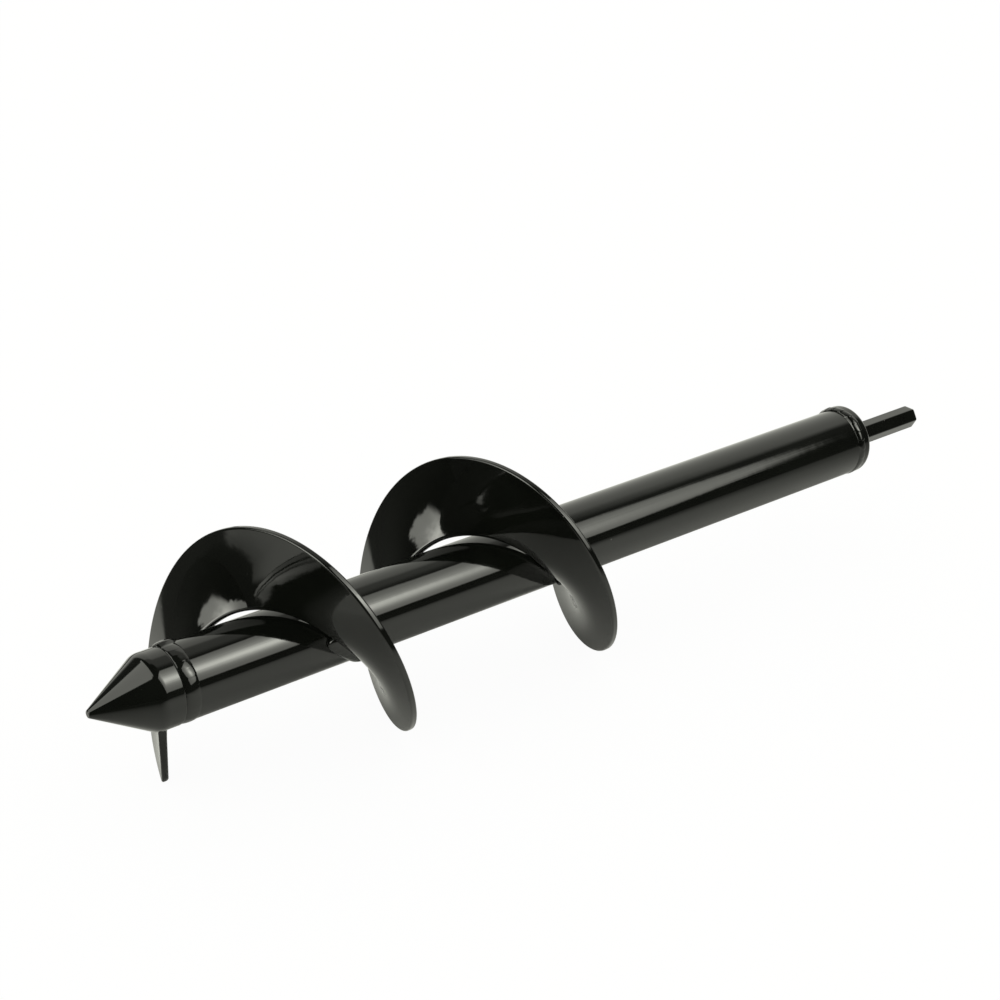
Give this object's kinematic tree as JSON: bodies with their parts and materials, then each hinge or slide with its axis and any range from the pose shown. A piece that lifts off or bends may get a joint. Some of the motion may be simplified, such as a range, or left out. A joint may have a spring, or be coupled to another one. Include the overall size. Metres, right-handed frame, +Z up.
{
  "type": "soil auger",
  "caption": "Drill-driven soil auger bit: a cone-pointed steel tube with a right-handed screw flight round its lower half and a hexagonal shank, welded and painted gloss black.",
  "frame": {"origin": "on the surface the auger lies on, under the middle of its length and width", "axes": "+X along the auger from its point to the end of its shank, +Z up, +Y across; two of the shank's flats are level"},
  "size_m": [0.4558, 0.102, 0.1024],
  "materials": {
    "tip_paint": "gloss black enamel, thick and smooth",
    "tube_paint": "gloss black enamel with fine dust specks",
    "flight_paint": "gloss black enamel with slight waves and dust specks",
    "shank_paint": "gloss black enamel",
    "weld_paint": "gloss black enamel over rippled weld beads"
  },
  "bodies": {
    "root": {"pilot_tip": "tip_paint", "centre_tube": "tube_paint", "end_cap": "tube_paint", "hex_shank": "shank_paint", "lower_flight": "flight_paint", "upper_flight": "flight_paint", "tip_weld": "weld_paint", "cap_weld": "weld_paint", "shank_weld": "weld_paint", "flight_joint_weld": "weld_paint", "stitch_weld_start": "weld_paint", "stitch_weld_lower": "weld_paint", "stitch_weld_joint": "weld_paint", "stitch_weld_upper": "weld_paint", "stitch_weld_end": "weld_paint"}
  },
  "joints": []
}
